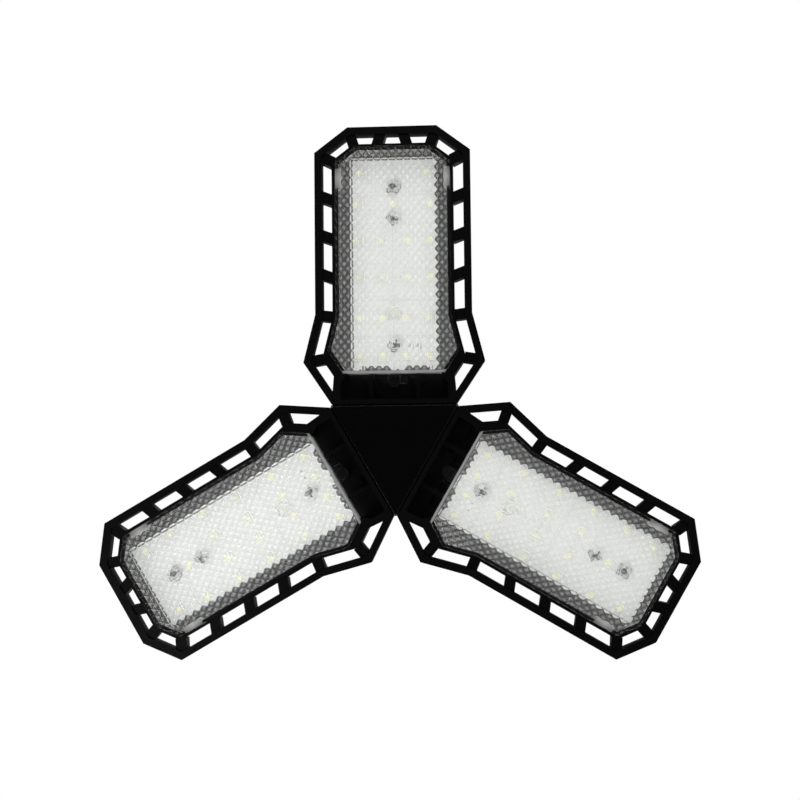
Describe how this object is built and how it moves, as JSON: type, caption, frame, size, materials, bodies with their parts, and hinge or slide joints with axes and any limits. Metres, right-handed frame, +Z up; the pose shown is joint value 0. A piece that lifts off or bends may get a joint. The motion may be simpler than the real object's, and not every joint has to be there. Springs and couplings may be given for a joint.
{
  "type": "folding garage light",
  "caption": "Ceiling light on a screw base: a triangular black hub with flat lattice-rimmed LED leaves that fold up on friction hinges.",
  "frame": {"origin": "centre of the screw base where its shell leaves the collar", "axes": "+Z up along the screw base towards the lamp socket, -Z the way the LEDs shine when the leaves are flat, -Y along leaf a"},
  "size_m": [0.2518, 0.225, 0.118],
  "materials": {
    "hub_plastic": "black moulded plastic, satin",
    "cover_plastic": "black moulded plastic, glossy",
    "black_casting": "die-cast aluminium under semi-gloss black paint",
    "lens": "clear prismatic polycarbonate",
    "white_board": "aluminium circuit board under white solder mask",
    "led": "LED packages with pale yellow phosphor",
    "dark_screw": "dark zinc-plated steel",
    "zinc_screw": "zinc-plated steel",
    "spring_steel": "spring steel",
    "base_metal": "bright pressed aluminium",
    "contact_metal": "tinned brass",
    "base_insulator": "black glass-like insulator",
    "silicone": "translucent white silicone",
    "rubber": "black rubber",
    "lead_black": "black lead insulation",
    "lead_live": "red lead insulation",
    "lead_neutral": "white lead insulation",
    "driver_board": "green circuit board",
    "transformer": "ferrite core and taped winding",
    "capacitor": "aluminium can in a dark sleeve",
    "choke": "enamelled copper winding on a ferrite core",
    "chip": "black moulded package",
    "resistor": "lacquered ceramic",
    "socket": "off-white nylon"
  },
  "bodies": {
    "hub": {"hub_housing": "hub_plastic", "hub_cover": "cover_plastic", "collar": "hub_plastic", "collar_screws": "zinc_screw", "screw_shell": "base_metal", "base_insulator": "base_insulator", "centre_contact": "contact_metal", "lead_bushes": "rubber", "driver_board": "driver_board", "driver_screws": "zinc_screw", "transformer": "transformer", "bulk_capacitors": "capacitor", "filter_choke": "choke", "rectifier": "chip", "driver_chips": "chip", "fusible_resistor": "resistor", "output_sockets": "socket", "live_lead": "lead_live", "neutral_lead": "lead_neutral"},
    "leaf_a": {"leaf_frame_a": "black_casting", "leaf_lens_a": "lens", "led_board_a": "white_board", "leds_a": "led", "board_screws_a": "dark_screw", "lead_plug_a": "silicone", "leaf_leads_a": "lead_black", "hinge_bolt_a": "zinc_screw", "hinge_nut_a": "zinc_screw", "hinge_washers_a": "spring_steel"},
    "leaf_b": {"leaf_frame_b": "black_casting", "leaf_lens_b": "lens", "led_board_b": "white_board", "leds_b": "led", "board_screws_b": "dark_screw", "lead_plug_b": "silicone", "leaf_leads_b": "lead_black", "hinge_bolt_b": "zinc_screw", "hinge_nut_b": "zinc_screw", "hinge_washers_b": "spring_steel"},
    "leaf_c": {"leaf_frame_c": "black_casting", "leaf_lens_c": "lens", "led_board_c": "white_board", "leds_c": "led", "board_screws_c": "dark_screw", "lead_plug_c": "silicone", "leaf_leads_c": "lead_black", "hinge_bolt_c": "zinc_screw", "hinge_nut_c": "zinc_screw", "hinge_washers_c": "spring_steel"}
  },
  "joints": [
    {"name": "fold_a", "type": "hinge", "parent": "hub", "child": "leaf_a", "pos_m": [0, -0.0198, -0.0784], "axis": [-1, 0, 0], "range_deg": [0, 90]},
    {"name": "fold_b", "type": "hinge", "parent": "hub", "child": "leaf_b", "pos_m": [-0.01715, 0.0099, -0.0784], "axis": [0.5, 0.866, 0], "range_deg": [0, 90]},
    {"name": "fold_c", "type": "hinge", "parent": "hub", "child": "leaf_c", "pos_m": [0.01715, 0.0099, -0.0784], "axis": [0.5, -0.866, 0], "range_deg": [0, 90]}
  ]
}
